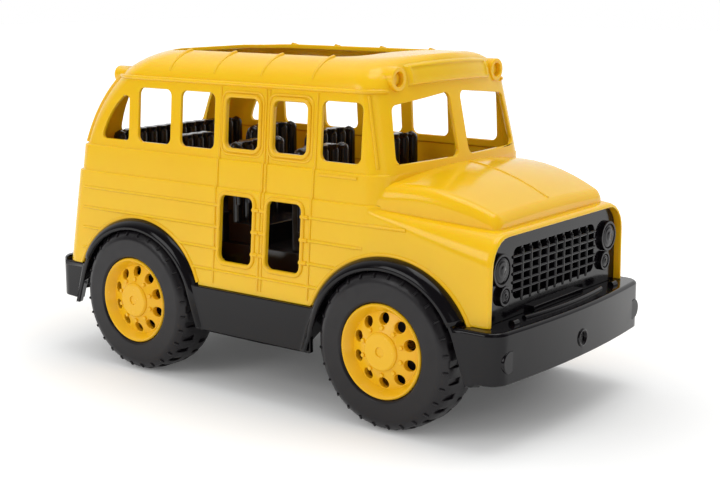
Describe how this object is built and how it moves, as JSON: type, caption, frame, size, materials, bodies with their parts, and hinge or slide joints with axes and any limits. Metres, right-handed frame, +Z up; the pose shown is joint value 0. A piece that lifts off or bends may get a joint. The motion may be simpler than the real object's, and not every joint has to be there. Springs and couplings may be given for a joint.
{
  "type": "toy bus",
  "caption": "Open-roof toy bus with a bonnet, moulded body on a black chassis, fluted seats, grille and fat wheels that roll on two steel axles",
  "frame": {"origin": "on the ground under the middle of the bus, the centre of the bounding box's bottom face", "axes": "+X to the front of the bus, +Y to its left side, +Z up"},
  "size_m": [0.337, 0.166, 0.1957],
  "materials": {
    "body_yellow": "satin gloss, moulded through in yellow",
    "trim_black": "gloss, moulded through in black",
    "tyre_black": "matt, moulded through in soft black",
    "axle_steel": "plain drawn rod",
    "screw_steel": "zinc plated"
  },
  "bodies": {
    "bus": {"body_shell": "body_yellow", "chassis": "trim_black", "seat_tray": "trim_black", "grille": "trim_black", "body_screws": "screw_steel", "tray_screws": "screw_steel", "grille_screws": "screw_steel"},
    "front_wheelset": {"front_axle": "axle_steel", "tyre_front_right": "tyre_black", "tyre_front_left": "tyre_black", "rim_front_right": "body_yellow", "rim_front_left": "body_yellow"},
    "rear_wheelset": {"rear_axle": "axle_steel", "tyre_rear_right": "tyre_black", "tyre_rear_left": "tyre_black", "rim_rear_right": "body_yellow", "rim_rear_left": "body_yellow"}
  },
  "joints": [
    {"name": "front_axle_spin", "type": "hinge", "parent": "bus", "child": "front_wheelset", "pos_m": [0.0935, 0, 0.044], "axis": [0, 1, 0], "continuous": true},
    {"name": "rear_axle_spin", "type": "hinge", "parent": "bus", "child": "rear_wheelset", "pos_m": [-0.0935, 0, 0.044], "axis": [0, 1, 0], "continuous": true}
  ]
}
